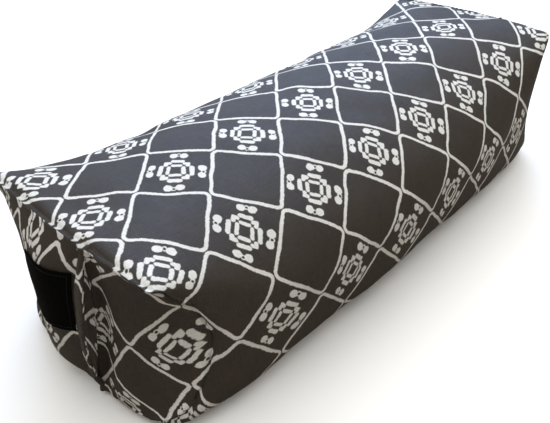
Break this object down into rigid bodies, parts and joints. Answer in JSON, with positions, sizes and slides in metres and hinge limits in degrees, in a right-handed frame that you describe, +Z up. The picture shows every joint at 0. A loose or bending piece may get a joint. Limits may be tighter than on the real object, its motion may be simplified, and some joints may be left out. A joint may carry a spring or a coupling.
{
  "type": "yoga bolster",
  "caption": "Rectangular stuffed yoga bolster: printed cotton cover with boxed ends, carry straps at the ends, a side zip and a filled inner bag.",
  "frame": {"origin": "middle of the flat base face, on the floor", "axes": "+Z up; +Y along the length, away from the labelled end; +X towards the long side without the zip"},
  "size_m": [0.2518, 0.5922, 0.151],
  "materials": {
    "printed_cotton": "matt dark brown-grey cotton with an off-white trellis print",
    "lining_cotton": "plain undyed cotton",
    "cotton_batting": "loose cotton batting",
    "label_weave": "bare black woven satin",
    "zip_tape": "woven polyester tape",
    "zip_coil": "dark nylon coil",
    "zip_metal": "black enamelled zinc"
  },
  "bodies": {
    "bolster": {"cover": "printed_cotton", "inner_bag": "lining_cotton", "cotton_filling": "cotton_batting", "woven_label": "label_weave", "zip_tape_upper": "zip_tape", "zip_tape_lower": "zip_tape", "zip_coil_upper": "zip_coil", "zip_coil_lower": "zip_coil", "zip_stop_upper": "zip_metal", "zip_stop_lower": "zip_metal", "zip_open_end_stop": "zip_metal"},
    "slider": {"zip_slider": "zip_metal"},
    "pull": {"zip_pull": "zip_metal"},
    "near_strap": {"near_end_strap": "printed_cotton"},
    "far_strap": {"far_end_strap": "printed_cotton"}
  },
  "joints": [
    {"name": "zip_travel", "type": "slide", "parent": "bolster", "child": "slider", "axis": [0, 1, 0], "range_m": [0, 0.3413], "deforming": ["zip_coil_upper", "zip_coil_lower"]},
    {"name": "pull_swing", "type": "hinge", "parent": "slider", "child": "pull", "pos_m": [-0.12278, -0.16925, 0.05], "axis": [0, 0, 1], "range_deg": [0, 180]},
    {"name": "near_strap_swing", "type": "hinge", "parent": "bolster", "child": "near_strap", "pos_m": [0.03767, -0.27343, 0.14409], "axis": [-0.1036, -0.0651, -0.9925], "range_deg": [-32, 32]},
    {"name": "far_strap_swing", "type": "hinge", "parent": "bolster", "child": "far_strap", "pos_m": [0.03767, 0.27343, 0.14409], "axis": [-0.1036, 0.0651, -0.9925], "range_deg": [-32, 32]}
  ]
}
